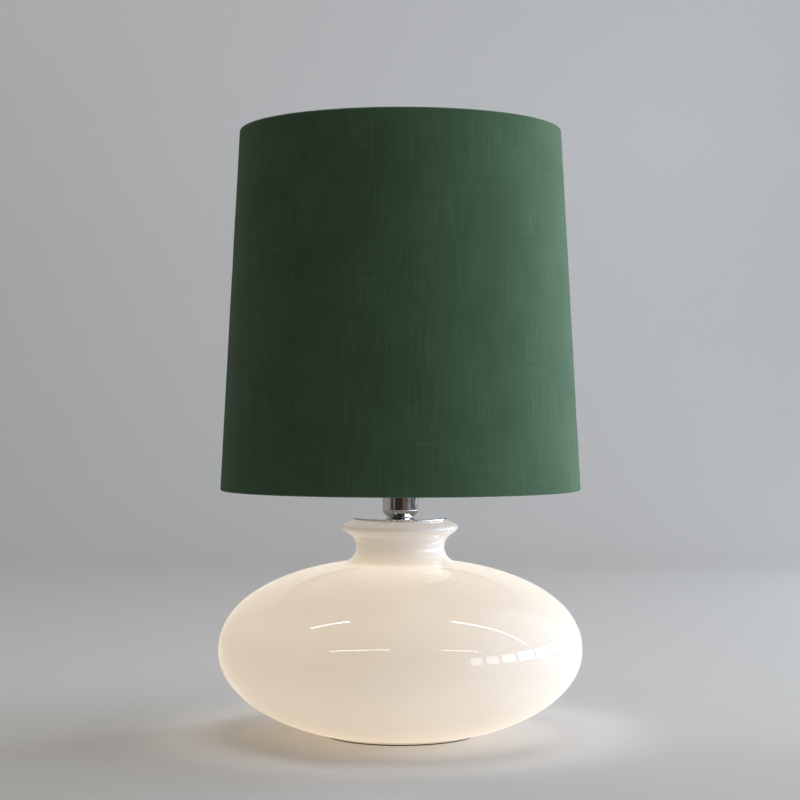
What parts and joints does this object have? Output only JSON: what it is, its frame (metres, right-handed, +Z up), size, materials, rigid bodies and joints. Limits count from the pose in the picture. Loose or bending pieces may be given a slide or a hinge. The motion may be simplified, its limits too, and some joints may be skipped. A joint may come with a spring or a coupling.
{
  "type": "table lamp",
  "caption": "Table lamp with a low rounded glass body lit from inside, a chromed cap and lampholder, and a tall tapered fabric shade.",
  "frame": {"origin": "centre of the foot, on the surface the lamp stands on", "axes": "+Z up along the lamp's axis of revolution; +Y towards the cord outlet at the back, so the front faces -Y"},
  "size_m": [0.4048, 0.4048, 0.6708],
  "materials": {
    "opal_glass": "glossy opal white, lit warm from inside",
    "felt": "dark brown felt",
    "grommet_rubber": "satin black",
    "chrome": "polished",
    "spring_steel": "blued spring steel",
    "plated_steel": "zinc plated",
    "holder_plastic": "off-white moulded",
    "porcelain": "glazed white porcelain",
    "brass": "bright",
    "live_wire": "brown insulation",
    "neutral_wire": "blue insulation",
    "bulb_contact": "tinned",
    "bulb_insulator": "black glass",
    "bulb_glass": "frosted",
    "shade_cloth": "green slubbed linen",
    "shade_liner": "white lampshade film",
    "white_wire": "white powder coat"
  },
  "bodies": {
    "base": {"felt_foot": "felt", "glass_body": "opal_glass", "cord_grommet": "grommet_rubber"},
    "cap": {"cap_plate": "chrome", "neck_spring": "spring_steel", "lock_washer": "plated_steel", "cap_nut": "plated_steel", "threaded_tube": "plated_steel", "inner_holder_sleeve": "holder_plastic", "inner_holder_block": "porcelain", "inner_terminal_screw_1": "brass", "inner_terminal_screw_2": "brass", "inner_thread_shell": "brass", "inner_centre_contact": "brass", "link_wire_live": "live_wire", "link_wire_neutral": "neutral_wire", "lampholder_cup": "chrome", "cup_nut": "plated_steel", "lampholder_block": "porcelain", "terminal_screw_1": "brass", "terminal_screw_2": "brass", "centre_contact": "brass", "thread_shell": "brass", "lampholder_collar": "chrome", "shade_ring_lower": "chrome"},
    "shade": {"shade_fabric": "shade_cloth", "shade_liner": "shade_liner", "top_ring": "white_wire", "bottom_ring": "white_wire", "spider_hub": "white_wire", "spider_arm_1": "white_wire", "spider_arm_2": "white_wire", "spider_arm_3": "white_wire"},
    "shade_nut": {"shade_ring_upper": "chrome"},
    "bulb_seat": {"bulb_contact": "bulb_contact", "bulb_insulator": "bulb_insulator"},
    "bulb": {"bulb_cap": "plated_steel", "bulb_glass": "bulb_glass"},
    "inner_bulb_seat": {"inner_bulb_contact": "bulb_contact", "inner_bulb_insulator": "bulb_insulator"},
    "inner_bulb": {"inner_bulb_cap": "plated_steel", "inner_bulb_glass": "bulb_glass"}
  },
  "joints": [
    {"name": "cap_lift", "type": "slide", "parent": "base", "child": "cap", "axis": [0, 0, 1], "range_m": [0, 0.2]},
    {"name": "shade_turn", "type": "hinge", "parent": "cap", "child": "shade", "pos_m": [0, 0, 0.29], "axis": [0, 0, 1], "continuous": true},
    {"name": "shade_nut_rise", "type": "slide", "parent": "cap", "child": "shade_nut", "axis": [0, 0, 1], "range_m": [0, 0.01]},
    {"name": "bulb_rise", "type": "slide", "parent": "cap", "child": "bulb_seat", "axis": [0, 0, 1], "range_m": [0, 0.0256]},
    {"name": "bulb_unscrew", "type": "hinge", "parent": "bulb_seat", "child": "bulb", "pos_m": [0, 0, 0.3], "axis": [0, 0, 1], "range_deg": [0, 2520]},
    {"name": "inner_bulb_drop", "type": "slide", "parent": "cap", "child": "inner_bulb_seat", "axis": [0, 0, -1], "range_m": [0, 0.0182]},
    {"name": "inner_bulb_unscrew", "type": "hinge", "parent": "inner_bulb_seat", "child": "inner_bulb", "pos_m": [0, 0, 0.1], "axis": [0, 0, -1], "range_deg": [0, 2304]}
  ],
  "couplings": [
    {"joint": "bulb_rise", "follows": "bulb_unscrew", "m_per_rad": 0.00057757},
    {"joint": "inner_bulb_drop", "follows": "inner_bulb_unscrew", "m_per_rad": 0.00044914}
  ]
}
